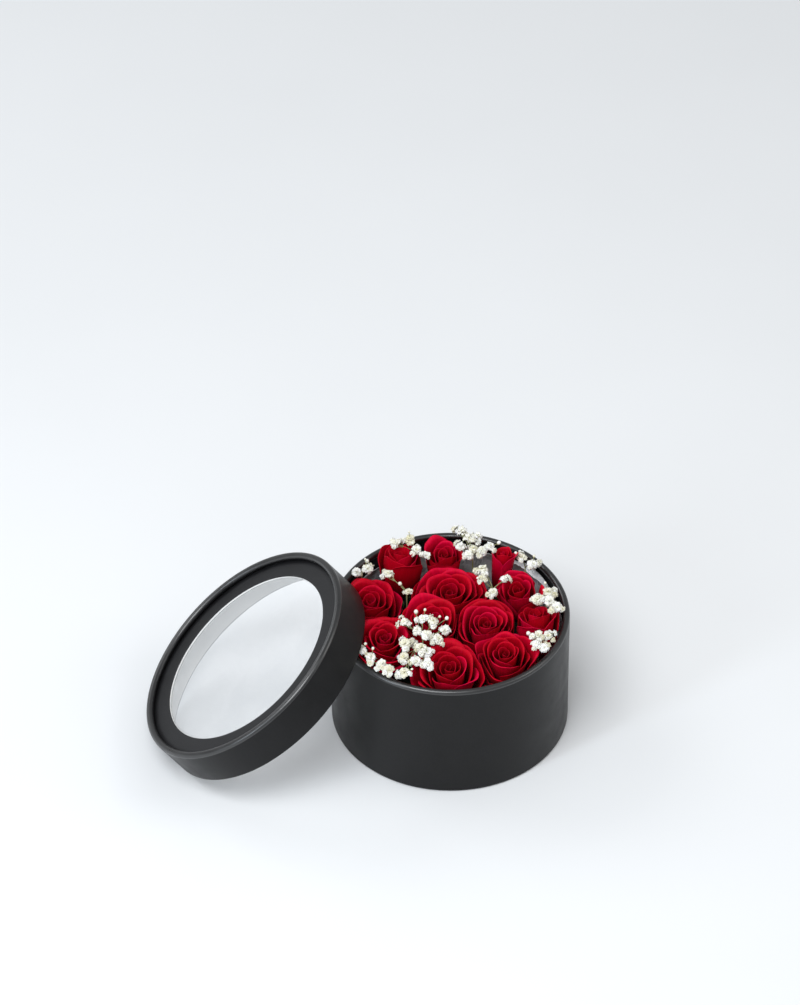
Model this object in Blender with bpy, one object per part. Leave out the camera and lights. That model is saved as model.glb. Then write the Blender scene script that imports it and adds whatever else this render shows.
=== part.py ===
"""Flower box: a round hat box of roses and baby's breath, with its windowed lid leaning on it.

Metres, +Z up. The origin is the centre of the box's underside, on the ground. The lid leans
on the left rim (-X side) with its window facing up and away from the box.
"""
import math

import bmesh
import bpy
from mathutils import Matrix, Vector

MM = 0.001
GAP = 0.3 * MM                  # free space kept between touching pieces

# Box
BOX_R = 90.0 * MM               # outside of the paper wrap
BOX_H = 102.0 * MM              # ground to the crest of the curled rim
BOARD_T = 1.7 * MM              # wall board
PAPER_T = 0.4 * MM              # wrap, lining and film
BASE_T = 2.4 * MM
CURL_R = 2.3 * MM               # half the width of the curled rim
TURN_IN = 0.8 * MM              # the bottom edge's rounding

# Foam and stems
FOAM_TOP = 52.0 * MM
STEM_R = 2.5 * MM
STEM_DEPTH = 30.0 * MM          # how far a rose stem goes into the foam
CALYX_R = 6.5 * MM
CALYX_H = 7.0 * MM
SPRIG_R = 0.9 * MM
SPRIG_DEPTH = 18.0 * MM

# Lid, in its own frame: z = 0 at the open edge, z = LID_H at the crest of its rim
LID_H = 32.0 * MM
LID_FIT = 0.7 * MM              # radial play over the box's rim
LID_CURL_R = 2.2 * MM
WINDOW_R = 74.0 * MM            # opening in the panel
WINDOW_LAP = 5.0 * MM           # film hidden behind the panel
PANEL_T = 2.0 * MM
BACKING_T = 0.6 * MM

# How the lid leans
LEAN = math.radians(38.2)
LEAN_TURN = math.radians(1.0)   # the lean's direction, turned from -X towards -Y
LID_Y = -26.0 * MM
LID_OFF_GROUND = 0.2 * MM

ROUND = 48                      # sides of the box and the lid
BLOOM_SIDES = 18

# Roses: centre x and y, radius, height of the top, all in mm
ROSES = [
    (-4, 62, 15.5, 114), (-40, 48, 19.5, 113), (-60, 16, 20.5, 109), (0, 23, 27, 113),
    (-14, -9, 21, 115), (37, 47, 12.5, 115), (55, 25, 18, 112), (26, -12, 22, 113),
    (66, -16, 17.5, 108), (41, -45, 19.5, 112), (0, -60, 21.5, 111), (-51, -27, 20, 111),
]
SPRIGS = {
    "left": ((-67, 40), 102, [(-71, 36, 109, 4.2), (-63, 38, 111, 4.6), (-63, 47, 110, 2.6)]),
    "left_back": ((-24, 65), 102, [
        (-42, 63, 115, 4.4), (-31, 69, 113, 4.6), (-25, 57, 113, 4.4), (-18, 50, 114, 3.4)]),
    "left_centre": ((-33, 14), 108, [(-47, 26, 117, 4.2), (-38, 15, 116, 2.4), (-32, 9, 114, 3)]),
    "back": ((17, 55), 110, [
        (8, 72, 120, 4.8), (21, 68, 118, 4.6), (14, 63, 120, 4.2), (7, 55, 119, 4.2),
        (18, 57, 115, 4.4), (14, 47, 117, 4.6), (24, 53, 115, 4.6), (31, 56, 118, 4),
        (37, 58, 119, 2.4)]),
    "centre_right": ((32, 19), 107, [
        (24, 32, 117, 4.4), (23, 21, 117, 3.4), (32, 8, 114, 4), (41, 23, 114, 3.6)]),
    "right_back": ((57, 51), 100, [(54, 51, 111, 4.2), (63, 45, 109, 4.6)]),
    "right": ((72, 5), 104, [
        (74, 9, 114, 4.6), (65, -1, 115, 4.6), (74, -4, 116, 4.6), (80, -9, 114, 4.6)]),
    "right_front": ((65, -42), 104, [
        (58, -38, 114, 2.6), (65, -40, 115, 4.2), (73, -39, 113, 4.4), (64, -48, 113, 4),
        (70, -50, 111, 4.2)]),
    "centre_left": ((-21, -39), 110, [
        (-35, -31, 120, 4.6), (-26, -24, 123, 2.6), (-21, -32, 124, 4.4), (-13, -34, 124, 4.4),
        (-26, -38, 118, 4), (-3, -31, 123, 2.4), (-4, -39, 119, 4.2), (-9, -46, 116, 4.6),
        (-18, -43, 118, 4.4)]),
    "front_left": ((-27, -46), 104, [
        (-30, -43, 111, 3.6), (-35, -49, 114, 4.6), (-22, -52, 113, 4.4), (-18, -60, 116, 4.4),
        (-35, -60, 111, 4.6), (-26, -65, 111, 4.4), (-35, -75, 109, 4.6), (-17, -72, 115, 4.6)]),
    "left_front": ((-54, -60), 101, [
        (-68, -49, 109, 4.4), (-60, -60, 110, 4.6), (-52, -67, 110, 4.4), (-46, -73, 110, 4.2)]),
}

PAINT = {
    "black_paper": ((0.028, 0.028, 0.030), 0.55, 1.0),
    "greyboard": ((0.030, 0.030, 0.032), 0.60, 1.0),
    "white_paper": ((0.78, 0.78, 0.77), 0.60, 1.0),
    "clear_film": ((0.85, 0.88, 0.90), 0.15, 0.25),
    "foam": ((0.05, 0.16, 0.06), 0.95, 1.0),
    "petal": ((0.55, 0.005, 0.020), 0.55, 1.0),
    "stem": ((0.10, 0.22, 0.05), 0.60, 1.0),
    "floret": ((0.86, 0.87, 0.78), 0.70, 1.0),
}


def material(name):
    """The named Principled material, made once."""
    found = bpy.data.materials.get(name)
    if found:
        return found
    color, roughness, alpha = PAINT[name]
    made = bpy.data.materials.new(name)
    made.use_nodes = True
    shader = made.node_tree.nodes["Principled BSDF"]
    shader.inputs["Base Color"].default_value = (*color, 1.0)
    shader.inputs["Roughness"].default_value = roughness
    shader.inputs["Metallic"].default_value = 0.0
    shader.inputs["Alpha"].default_value = alpha
    made.diffuse_color = (*color, alpha)
    return made


def add_object(name, bm, paint, parent=None):
    """Turn a bmesh into a named object, shaded smooth up to 35 degrees."""
    bmesh.ops.recalc_face_normals(bm, faces=bm.faces)
    mesh = bpy.data.meshes.new(name)
    bm.to_mesh(mesh)
    bm.free()
    mesh.shade_smooth()
    mesh.set_sharp_from_angle(angle=math.radians(35))
    mesh.materials.append(material(paint))
    made = bpy.data.objects.new(name, mesh)
    made.parent = parent
    bpy.context.scene.collection.objects.link(made)
    return made


def arc(centre_r, centre_z, radius, start, end, steps):
    """Points of an arc in the (r, z) plane, from start to end in degrees."""
    points = []
    for i in range(steps + 1):
        angle = math.radians(start + (end - start) * i / steps)
        points.append((centre_r + radius * math.cos(angle), centre_z + radius * math.sin(angle)))
    return points


def turn(bm, profile, sides):
    """Turn a closed (r, z) profile round the Z axis; a point with r = 0 is a pole."""
    rings = []
    for r, z in profile:
        if r == 0:
            rings.append([bm.verts.new((0, 0, z))])
            continue
        angles = [2 * math.pi * i / sides for i in range(sides)]
        rings.append([bm.verts.new((r * math.cos(a), r * math.sin(a), z)) for a in angles])
    for lower, upper in zip(rings, rings[1:] + rings[:1]):
        if len(lower) == 1 and len(upper) == 1:
            continue
        for i in range(sides):
            j = (i + 1) % sides
            corners = [lower[i % len(lower)], lower[j % len(lower)],
                       upper[j % len(upper)], upper[i % len(upper)]]
            bm.faces.new(list(dict.fromkeys(corners)))


def turned(name, profile, paint, parent=None, sides=ROUND):
    bm = bmesh.new()
    turn(bm, profile, sides)
    return add_object(name, bm, paint, parent)


def sleeve(name, inner, outer, low, high, paint, parent=None):
    """A plain tube or ring."""
    profile = [(inner, low), (outer, low), (outer, high), (inner, high)]
    return turned(name, profile, paint, parent)


def curled_wall(name, inner, low_chamfer, curl_r, height, paint, parent=None):
    """A board wall whose top edge is curled into a round bead, centred on the board."""
    outer = inner + BOARD_T
    middle = (inner + outer) / 2
    half = math.degrees(math.asin(BOARD_T / 2 / curl_r))
    bead = arc(middle, height - curl_r, curl_r, -90 + half, 270 - half, 11)
    foot = [(inner, 0), (outer - low_chamfer, 0), (outer, low_chamfer)]
    return turned(name, foot + bead, paint, parent)


def make_box():
    wrap_inner = BOX_R - PAPER_T
    board_outer = wrap_inner - GAP
    board_inner = board_outer - BOARD_T
    lining_outer = board_inner - GAP
    film_outer = lining_outer - PAPER_T - GAP
    film_inner = film_outer - PAPER_T
    under_curl = BOX_H - 2 * CURL_R - GAP
    floor = BASE_T + GAP

    curled_wall("box_wall", board_inner, TURN_IN, CURL_R, BOX_H, "greyboard")
    sleeve("box_wrap", wrap_inner, BOX_R, TURN_IN + GAP, under_curl, "black_paper")
    base = [(0, 0), (lining_outer, 0), (lining_outer, BASE_T), (0, BASE_T)]
    turned("box_base", base, "greyboard")
    sleeve("box_lining", lining_outer - PAPER_T, lining_outer, floor, under_curl, "black_paper")
    film = [(0, floor), (film_outer, floor), (film_outer, under_curl), (film_inner, under_curl),
            (film_inner, floor + PAPER_T), (0, floor + PAPER_T)]
    turned("film_liner", film, "clear_film")
    make_foam(film_inner - GAP, floor + PAPER_T + GAP)


def make_foam(radius, bottom):
    """The block of floral foam, with a hole for each stem."""
    edge = 1.5 * MM
    profile = [(0, bottom), (radius, bottom), (radius, FOAM_TOP - edge),
               (radius - edge, FOAM_TOP), (0, FOAM_TOP)]
    foam = turned("foam_block", profile, "foam")
    above = FOAM_TOP + 5 * MM
    holes = bmesh.new()
    for x, y, *_ in ROSES:
        drill(holes, x, y, STEM_R + GAP * 1.2, FOAM_TOP - STEM_DEPTH - GAP, above, 10)
    for (x, y), *_ in SPRIGS.values():
        drill(holes, x, y, SPRIG_R + GAP * 1.3, FOAM_TOP - SPRIG_DEPTH - GAP, above, 6)
    cutter = add_object("foam_holes", holes, "foam")
    hide(cutter)
    cut = foam.modifiers.new("stem_holes", "BOOLEAN")
    cut.operation = "DIFFERENCE"
    cut.solver = "EXACT"
    cut.object = cutter


def drill(bm, x_mm, y_mm, radius, low, high, sides):
    """Add an upright rod to a cutter."""
    before = set(bm.verts)
    turn(bm, [(0, low), (radius, low), (radius, high), (0, high)], sides)
    rod = [v for v in bm.verts if v not in before]
    bmesh.ops.translate(bm, vec=(x_mm * MM, y_mm * MM, 0), verts=rod)


def hide(cutter):
    cutter.hide_render = True
    cutter.display_type = "WIRE"


def bloom_height(radius):
    return 30 * MM + 0.5 * radius


def bloom_profile(radius, top):
    """A rose head as a rounded cup, from its foot to the middle of its top."""
    bottom = top - bloom_height(radius)
    shape = [(0.22, 0.0), (0.58, 0.12), (0.86, 0.34), (1.0, 0.62), (0.96, 0.80), (0.80, 0.93),
             (0.45, 0.99)]
    rings = [(radius * r, bottom + (top - bottom) * z) for r, z in shape]
    return [(0, bottom)] + rings + [(0, top)]


def make_roses():
    """Each bloom is pressed flat where it meets its neighbours, and stands on its own stem."""
    for i, (x, y, r, top) in enumerate(ROSES):
        name = "rose_%02d" % (i + 1)
        radius = r * MM
        bm = bmesh.new()
        turn(bm, bloom_profile(radius, top * MM), BLOOM_SIDES)
        for j, (other_x, other_y, other_r, _) in enumerate(ROSES):
            if j != i:
                press(bm, radius, Vector((other_x - x, other_y - y, 0)) * MM, other_r * MM)
        bloom = add_object(name + "_bloom", bm, "petal")
        bloom.location = (x * MM, y * MM, 0)

        neck = top * MM - bloom_height(radius) - GAP
        stem = [(0, FOAM_TOP - STEM_DEPTH), (STEM_R, FOAM_TOP - STEM_DEPTH),
                (STEM_R, neck - CALYX_H), (CALYX_R * 0.75, neck - CALYX_H * 0.65),
                (CALYX_R, neck), (0, neck)]
        stalk = turned(name + "_stem", stem, "stem", sides=10)
        stalk.location = bloom.location


def press(bm, radius, across, other_radius):
    """Cut a bloom off flat at the plane that it shares with a neighbour."""
    distance = across.length
    reach = (distance ** 2 + radius ** 2 - other_radius ** 2) / (2 * distance) - GAP / 2
    if reach >= radius:
        return
    normal = across.normalized()
    geometry = bm.verts[:] + bm.edges[:] + bm.faces[:]
    cut = bmesh.ops.bisect_plane(bm, geom=geometry, plane_co=normal * reach, plane_no=normal,
                                 clear_outer=True)
    rim = [e for e in cut["geom_cut"] if isinstance(e, bmesh.types.BMEdge)]
    bmesh.ops.contextual_create(bm, geom=rim)


def rod_between(bm, start, end, radius, sides=5):
    """Add a closed rod from one point to another."""
    run = end - start
    place = Matrix.Translation((start + end) / 2) @ run.to_track_quat("Z", "Y").to_matrix().to_4x4()
    bmesh.ops.create_cone(bm, cap_ends=True, segments=sides, radius1=radius, radius2=radius,
                          depth=run.length, matrix=place)


def make_sprigs():
    """A stem that forks to its flower heads, joined into one body."""
    for name, ((x, y), fork_z, heads) in SPRIGS.items():
        bottom = FOAM_TOP - SPRIG_DEPTH
        fork = Vector((x, y, fork_z)) * MM
        bm = bmesh.new()
        drill(bm, x, y, SPRIG_R, bottom, fork.z + SPRIG_R, 6)
        sprig = add_object("sprig_" + name, bm, "floret")

        top = bmesh.new()
        for head_x, head_y, head_z, head_r in heads:
            centre = Vector((head_x, head_y, head_z)) * MM
            rod_between(top, fork - Vector((0, 0, SPRIG_R)), centre, SPRIG_R * 0.7)
            bmesh.ops.create_icosphere(top, subdivisions=1, radius=head_r * MM,
                                       matrix=Matrix.Translation(centre))
        branches = add_object("branches_" + name, top, "floret")
        hide(branches)
        join = sprig.modifiers.new("branches", "BOOLEAN")
        join.operation = "UNION"
        join.solver = "EXACT"
        join.use_self = True
        join.object = branches


def box_distance(point):
    """How far a point is from the box's wall or its curled rim."""
    out = math.hypot(point.x, point.y)
    wall_t = BOARD_T + PAPER_T + GAP
    rim_z = BOX_H - CURL_R
    rim_r = BOX_R - PAPER_T - GAP - BOARD_T / 2
    to_rim = math.hypot(out - rim_r, point.z - rim_z) - CURL_R
    to_wall = math.hypot(out - (BOX_R - wall_t / 2), max(point.z - rim_z, 0)) - wall_t / 2
    return min(to_rim, to_wall)


def lid_frame(mouth_x, skirt_r, edge):
    """The lid's frame when the middle of its open edge is at mouth_x."""
    mouth_z = skirt_r * math.sin(LEAN) + edge * (1 - math.cos(LEAN)) + LID_OFF_GROUND
    turn_about_z = Matrix.Rotation(LEAN_TURN, 4, "Z")
    lean_about_y = Matrix.Rotation(-LEAN, 4, "Y")
    return Matrix.Translation((mouth_x, LID_Y, mouth_z)) @ turn_about_z @ lean_about_y


def lid_place(lining_inner, wrap_outer):
    """Slide the leaning lid towards the box until its skirt all but touches the rim."""
    skirt_r = (lining_inner + wrap_outer) / 2
    edge = (wrap_outer - lining_inner) / 2
    ring = [Matrix.Rotation(2 * math.pi * i / 360, 4, "Z") @ Vector((skirt_r, 0, 0))
            for i in range(360)]
    levels = [edge + i * 3 * MM for i in range(6)]
    skirt = [p + Vector((0, 0, z)) for z in levels for p in ring]
    clear, touching = -BOX_R * 2.5, -BOX_R
    for _ in range(24):
        mouth_x = (clear + touching) / 2
        frame = lid_frame(mouth_x, skirt_r, edge)
        nearest = min(box_distance(frame @ p) for p in skirt) - edge
        if nearest > GAP:
            clear = mouth_x
        else:
            touching = mouth_x
    return lid_frame(clear, skirt_r, edge)


def make_lid():
    curl_outer = BOX_R - PAPER_T - GAP - BOARD_T / 2 + CURL_R
    lining_inner = curl_outer + LID_FIT
    lining_outer = lining_inner + PAPER_T
    board_inner = lining_outer + GAP
    board_outer = board_inner + BOARD_T
    wrap_inner = board_outer + GAP
    wrap_outer = wrap_inner + PAPER_T
    panel_top = LID_H - 2 * LID_CURL_R - GAP
    panel_low = panel_top - PANEL_T
    film_top = panel_low - GAP
    backing_top = film_top - PAPER_T - GAP
    backing_low = backing_top - BACKING_T

    lid = bpy.data.objects.new("lid_frame", None)
    bpy.context.scene.collection.objects.link(lid)
    lid.matrix_world = lid_place(lining_inner, wrap_outer)

    curled_wall("lid_wall", board_inner, TURN_IN, LID_CURL_R, LID_H, "greyboard", lid)
    sleeve("lid_wrap", wrap_inner, wrap_outer, TURN_IN + GAP, panel_top, "black_paper", lid)
    sleeve("lid_panel", WINDOW_R, lining_outer, panel_low, panel_top, "black_paper", lid)
    film_r = WINDOW_R + WINDOW_LAP
    film = [(0, film_top - PAPER_T), (film_r, film_top - PAPER_T), (film_r, film_top), (0, film_top)]
    turned("lid_window", film, "clear_film", lid)
    sleeve("lid_backing", WINDOW_R, lining_outer, backing_low, backing_top, "white_paper", lid)
    sleeve("lid_lining", lining_inner, lining_outer, TURN_IN, backing_low - GAP, "white_paper", lid)


for old in list(bpy.data.objects):
    bpy.data.objects.remove(old)
make_box()
make_roses()
make_sprigs()
make_lid()
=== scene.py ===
"""Looks of the flower box: paper, film, petals and baby's breath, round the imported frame."""
import math
import random

import bpy
import numpy as np
from mathutils import Matrix, Vector


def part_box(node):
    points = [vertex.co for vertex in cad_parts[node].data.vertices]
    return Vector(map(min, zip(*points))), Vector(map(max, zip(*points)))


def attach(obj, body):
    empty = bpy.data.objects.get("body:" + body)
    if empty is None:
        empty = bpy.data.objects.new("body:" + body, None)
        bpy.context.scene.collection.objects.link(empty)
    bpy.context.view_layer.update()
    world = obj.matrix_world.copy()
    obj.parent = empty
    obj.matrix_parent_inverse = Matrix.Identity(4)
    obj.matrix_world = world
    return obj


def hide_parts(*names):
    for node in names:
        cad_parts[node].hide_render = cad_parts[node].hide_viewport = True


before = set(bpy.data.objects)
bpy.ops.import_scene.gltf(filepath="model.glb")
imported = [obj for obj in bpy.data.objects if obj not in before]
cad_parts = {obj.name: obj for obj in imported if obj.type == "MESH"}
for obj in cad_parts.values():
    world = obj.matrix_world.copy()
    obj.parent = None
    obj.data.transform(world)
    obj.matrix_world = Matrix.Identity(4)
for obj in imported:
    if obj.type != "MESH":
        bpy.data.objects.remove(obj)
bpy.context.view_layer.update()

MM = 0.001

# The lid's lean, as in the CAD
LEAN = math.radians(38.2)
LEAN_TURN = math.radians(1.0)
LID_MOUTH = -24.8               # the lid's open edge, below the middle of the film, in mm

# Sheets and boards, in mm
PAPER_T = 0.4
BOARD_T = 1.7
GLUE = 0.1                      # between a board and its paper
BOX_CURL_R = 2.6
LID_CURL_R = 2.8
BEAD_PROUD = 0.03               # how far the bead stands out past the paper
FOOT_R = 1.8                    # rounding of the box's bottom edge
ROUND = 192                     # sides of a turned piece
SEAM = (0.10, 0.16)             # the lap of a glued wrap: its width in radians, its step in mm
CORNER = math.radians(42)       # edges of a turned piece sharper than this aren't smoothed

GOLDEN = math.radians(137.508)  # turn from one petal to the next

# How open each rose is, from 0, a bud, to 1, full blown, how far its head nods from upright,
# in degrees, and the compass direction of the nod, in degrees from +X
ROSES = [
    (0.45, 14, 265), (0.30, 13, 75), (0.70, 12, 265), (0.95, 12, 270), (0.75, 14, 280),
    (0.05, 11, 60), (0.48, 14, 240), (0.90, 14, 275), (0.60, 16, 100), (0.80, 13, 265),
    (0.80, 12, 260), (0.80, 13, 280),
]
GUARDS = 4                      # outermost petals of open roses, which fill the gaps
GUARD_REACH = 1.10              # how much further they reach
GUARD_DROP = 0.22               # how much lower they stand, in radii
SPREAD = 1.18                   # how far past its CAD radius a rose's outer petals reach


# ------------------------ materials

def shader_of(name):
    """A new node material, its tree and its Principled shader."""
    made = bpy.data.materials.new(name)
    made.use_nodes = True
    tree = made.node_tree
    return made, tree, tree.nodes["Principled BSDF"]


def dress(tree, shader, **looks):
    """Set the shader's inputs, named with _ for a space: link a socket, store a constant."""
    for name, value in looks.items():
        socket = shader.inputs[name.replace("_", " ")]
        if isinstance(value, bpy.types.NodeSocket):
            tree.links.new(value, socket)
        else:
            socket.default_value = value


def object_place(tree):
    return tree.nodes.new("ShaderNodeTexCoord").outputs["Object"]


def noise_node(tree, scale, detail=4.0, vector=None):
    """Noise as a socket, over object coordinates unless another vector is given."""
    node = tree.nodes.new("ShaderNodeTexNoise")
    node.inputs["Scale"].default_value = scale
    node.inputs["Detail"].default_value = detail
    node.inputs["Roughness"].default_value = 0.55
    tree.links.new(vector or object_place(tree), node.inputs["Vector"])
    return node.outputs["Fac"]


def stretched(tree, scale_xyz):
    """Object coordinates, scaled more along one axis than another."""
    mapping = tree.nodes.new("ShaderNodeMapping")
    mapping.inputs["Scale"].default_value = scale_xyz
    tree.links.new(object_place(tree), mapping.inputs["Vector"])
    return mapping.outputs["Vector"]


def ramp(tree, factor, stops):
    """A colour ramp: stops are (place, colour or grey level)."""
    node = tree.nodes.new("ShaderNodeValToRGB")
    marks = node.color_ramp.elements
    while len(marks) < len(stops):
        marks.new(0.5)
    for mark, (place, color) in zip(marks, stops):
        mark.position = place
        mark.color = (*color, 1.0) if isinstance(color, tuple) else (color, color, color, 1.0)
    tree.links.new(factor, node.inputs["Fac"])
    return node.outputs["Color"]


def remap(tree, value, low, high, to_low, to_high):
    """A value moved from one range to another."""
    node = tree.nodes.new("ShaderNodeMapRange")
    for socket, number in zip(("From Min", "From Max", "To Min", "To Max"),
                              (low, high, to_low, to_high)):
        node.inputs[socket].default_value = number
    tree.links.new(value, node.inputs["Value"])
    return node.outputs["Result"]


def mixed(tree, factor, first, second, mode="MIX"):
    """Two colours mixed. Each of them, and factor, is a socket or a constant."""
    node = tree.nodes.new("ShaderNodeMix")
    node.data_type = "RGBA"
    node.blend_type = mode
    for socket, value in ((0, factor), (6, first), (7, second)):
        if isinstance(value, bpy.types.NodeSocket):
            tree.links.new(value, node.inputs[socket])
        elif isinstance(value, tuple):
            node.inputs[socket].default_value = (*value, 1.0)
        else:
            node.inputs[socket].default_value = value
    return node.outputs[2]


def times(tree, first, second):
    """Two colours multiplied."""
    return mixed(tree, 1.0, first, second, "MULTIPLY")


def bumped(tree, shader, heights):
    """Bump from a list of (height socket, strength, depth in metres)."""
    last = None
    for height, strength, depth in heights:
        node = tree.nodes.new("ShaderNodeBump")
        node.inputs["Strength"].default_value = strength
        node.inputs["Distance"].default_value = depth
        tree.links.new(height, node.inputs["Height"])
        if last:
            tree.links.new(last, node.inputs["Normal"])
        last = node.outputs["Normal"]
    tree.links.new(last, shader.inputs["Normal"])


def attribute(tree, name):
    """The outputs of a value that the mesh carries."""
    node = tree.nodes.new("ShaderNodeAttribute")
    node.attribute_name = name
    return node.outputs


def paper_material(name, dark, light, roughness, wear=0.0, fleck=0.2, gloss=0.31):
    """Dyed paper over board: fine tooth, faint mottling and rubbed edges."""
    made, tree, shader = shader_of(name)
    tooth = noise_node(tree, 2300, 3)
    mottle = noise_node(tree, 55, 5)
    fibre = noise_node(tree, 1.0, 4, stretched(tree, (1500, 1500, 330)))
    color = ramp(tree, mottle, [(0.3, dark), (0.7, light)])
    low, high = 1 - fleck, 1 + fleck
    grain = ramp(tree, fibre, [(0.35, low), (0.68, high)])
    color = times(tree, color, grain)
    if wear:
        rubbed = attribute(tree, "rub")["Fac"]
        patch = ramp(tree, noise_node(tree, 420, 6), [(0.48, 0), (0.72, 1)])
        rubbed = times(tree, patch, rubbed)
        fade = remap(tree, rubbed, 0, 1, 0, wear)
        color = mixed(tree, fade, color, (0.16, 0.16, 0.165))
    rough = remap(tree, mottle, 0.3, 0.7, roughness - 0.06, roughness + 0.07)
    dress(tree, shader, Base_Color=color, Roughness=rough, Specular_IOR_Level=gloss)
    bumped(tree, shader, [(tooth, 0.30, 0.00005), (fibre, 0.2, 0.00004), (mottle, 0.15, 0.0002)])
    return made


def petal_material():
    """Velvety red with fine veins, with painted shade deep in the folds, towards each petal's foot and
    on the inner petals, and a painted highlight brighter towards the lip.
    """
    made, tree, shader = shader_of("petal_red")
    at = attribute(tree, "petal")
    split = tree.nodes.new("ShaderNodeSeparateColor")
    tree.links.new(at["Color"], split.inputs["Color"])
    along, layer, tint = split.outputs
    veins = noise_node(tree, 1.0, 3, attribute(tree, "vein")["Vector"])
    # Painted shade: the red darkens from the lip down to each petal's foot, deep in the rose; the
    # brightest red at the lip is a painted highlight
    body = ramp(tree, along, [(0.0, (0.020, 0.0, 0.001)), (0.35, (0.17, 0.0, 0.004)),
                              (0.75, (0.50, 0.0, 0.012)), (1.0, (0.62, 0.001, 0.022))])
    hue = ramp(tree, tint, [(0.0, (0.80, 0.8, 0.7)), (0.5, 1.0), (1.0, (1.08, 1.2, 2.2))])
    body = times(tree, body, hue)
    streak = ramp(tree, veins, [(0.3, (0.84, 0.7, 0.7)), (0.7, (1.08, 1.1, 1.1))])
    body = times(tree, body, streak)
    # Painted shade: the inner petals, in the heart of the rose, are darker
    heart_shade = ramp(tree, layer, [(0.0, (0.62, 0.6, 0.6)), (0.30, (0.95, 0.9, 0.9)), (1.0, 1.0)])
    body = times(tree, body, heart_shade)
    dress(tree, shader, Base_Color=body, Roughness=remap(tree, veins, 0.3, 0.7, 0.48, 0.62),
          Specular_IOR_Level=0.08, Sheen_Weight=0.03, Sheen_Roughness=0.4,
          Sheen_Tint=(1.0, 0.15, 0.2, 1.0), Subsurface_Weight=0.10,
          Subsurface_Radius=(0.9, 0.03, 0.03), Subsurface_Scale=0.0015)
    bumped(tree, shader, [(veins, 0.35, 0.00025), (noise_node(tree, 2600, 2), 0.15, 0.00004)])
    return made


def floret_material():
    """White petals, cream and green towards the heart."""
    made, tree, shader = shader_of("floret_white")
    out = attribute(tree, "out")["Fac"]
    color = ramp(tree, out, [(0.0, (0.46, 0.48, 0.20)), (0.22, (0.78, 0.77, 0.58)),
                             (0.50, (0.90, 0.90, 0.86)), (1.0, (0.96, 0.96, 0.95))])
    patch = ramp(tree, noise_node(tree, 260, 4), [(0.35, (0.92, 0.90, 0.80)), (0.55, 1.0)])
    color = times(tree, color, patch)
    cream = ramp(tree, attribute(tree, "tone")["Fac"], [
        (0.0, (0.86, 0.82, 0.64)), (0.3, (0.96, 0.95, 0.88)), (0.6, (1.0, 1.0, 0.99))])
    dress(tree, shader, Base_Color=times(tree, color, cream),
          Roughness=remap(tree, noise_node(tree, 900, 3), 0.3, 0.7, 0.5, 0.7),
          Subsurface_Weight=0.15, Subsurface_Radius=(0.6, 0.6, 0.4), Subsurface_Scale=0.001)
    bumped(tree, shader, [(noise_node(tree, 1700, 3), 0.4, 0.0001)])
    return made


def stem_material(name, low, high):
    """Green with streaks along the stem."""
    made, tree, shader = shader_of(name)
    streaks = noise_node(tree, 1.0, 4, stretched(tree, (900, 900, 120)))
    dress(tree, shader, Base_Color=ramp(tree, streaks, [(0.3, low), (0.7, high)]),
          Roughness=remap(tree, streaks, 0.3, 0.7, 0.45, 0.65))
    bumped(tree, shader, [(streaks, 0.4, 0.0001)])
    return made


def window_material():
    """Clear stiff film with the faintest haze, under a white part-opaque coat that is painted reflection
    and lightens the shadow seen through the film.
    """
    made, tree, shader = shader_of("window_film")
    haze = noise_node(tree, 30, 3)
    # Painted reflection: the near-white base colour at about a quarter opacity stands in for the film's
    # reflection and lightens the shadow behind it
    dress(tree, shader, Roughness=remap(tree, haze, 0.3, 0.7, 0.04, 0.08),
          Base_Color=ramp(tree, haze, [(0.3, (0.87, 0.89, 0.91)), (0.7, (0.93, 0.94, 0.95))]),
          Alpha=remap(tree, haze, 0.3, 0.7, 0.21, 0.25))
    bumped(tree, shader, [(haze, 0.05, 0.0002)])
    return made


def crinkle_material():
    """Soft film crushed by hand: silvery grey, with painted glints: bright creases that run up the sheet
    and bright facets, painted lighter and more opaque.
    """
    made, tree, shader = shader_of("crinkled_film")
    fold = noise_node(tree, 1.0, 2, stretched(tree, (150, 150, 70)))
    facet = noise_node(tree, 1.0, 1, stretched(tree, (70, 70, 45)))
    # Painted glints: creases and facets are painted lighter, and below made more opaque, in place of the
    # light they would catch
    crease_glint = ramp(tree, fold, [(0.44, 0.0), (0.50, 1.0), (0.55, 0.1)])
    facet_glint = ramp(tree, facet, [(0.38, 0.0), (0.60, 1.0)])
    mark = mixed(tree, 0.55, crease_glint, facet_glint)
    glint_grey = ramp(tree, mark, [(0.0, (0.72, 0.74, 0.80)), (0.4, (0.95, 0.96, 0.99)),
                               (1.0, (0.98, 0.99, 1.0))])
    dress(tree, shader, Base_Color=glint_grey, Alpha=remap(tree, mark, 0, 0.5, 0.70, 1.0),
          Roughness=remap(tree, facet, 0.3, 0.7, 0.16, 0.32), Metallic=0.15, Specular_IOR_Level=1.0)
    bumped(tree, shader, [(fold, 0.8, 0.0016), (facet, 0.5, 0.0020)])
    return made


def foam_material():
    """Wet green floral foam, pitted with cells."""
    made, tree, shader = shader_of("foam_green")
    cells = tree.nodes.new("ShaderNodeTexVoronoi")
    cells.inputs["Scale"].default_value = 900
    tree.links.new(object_place(tree), cells.inputs["Vector"])
    lumps = noise_node(tree, 120, 5)
    dress(tree, shader, Roughness=0.95, Base_Color=ramp(tree, lumps, [
        (0.3, (0.003, 0.010, 0.004)), (0.7, (0.010, 0.026, 0.010))]))
    bumped(tree, shader, [(cells.outputs["Distance"], 0.8, 0.0004), (lumps, 0.6, 0.002)])
    return made


def floor_material():
    """A pale matt studio floor."""
    made, tree, shader = shader_of("pale_floor")
    cloud = noise_node(tree, 3, 3)
    dress(tree, shader, Roughness=0.8, Base_Color=ramp(tree, cloud, [
        (0.2, (0.80, 0.81, 0.82)), (0.8, (0.83, 0.84, 0.85))]))
    return made


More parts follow.
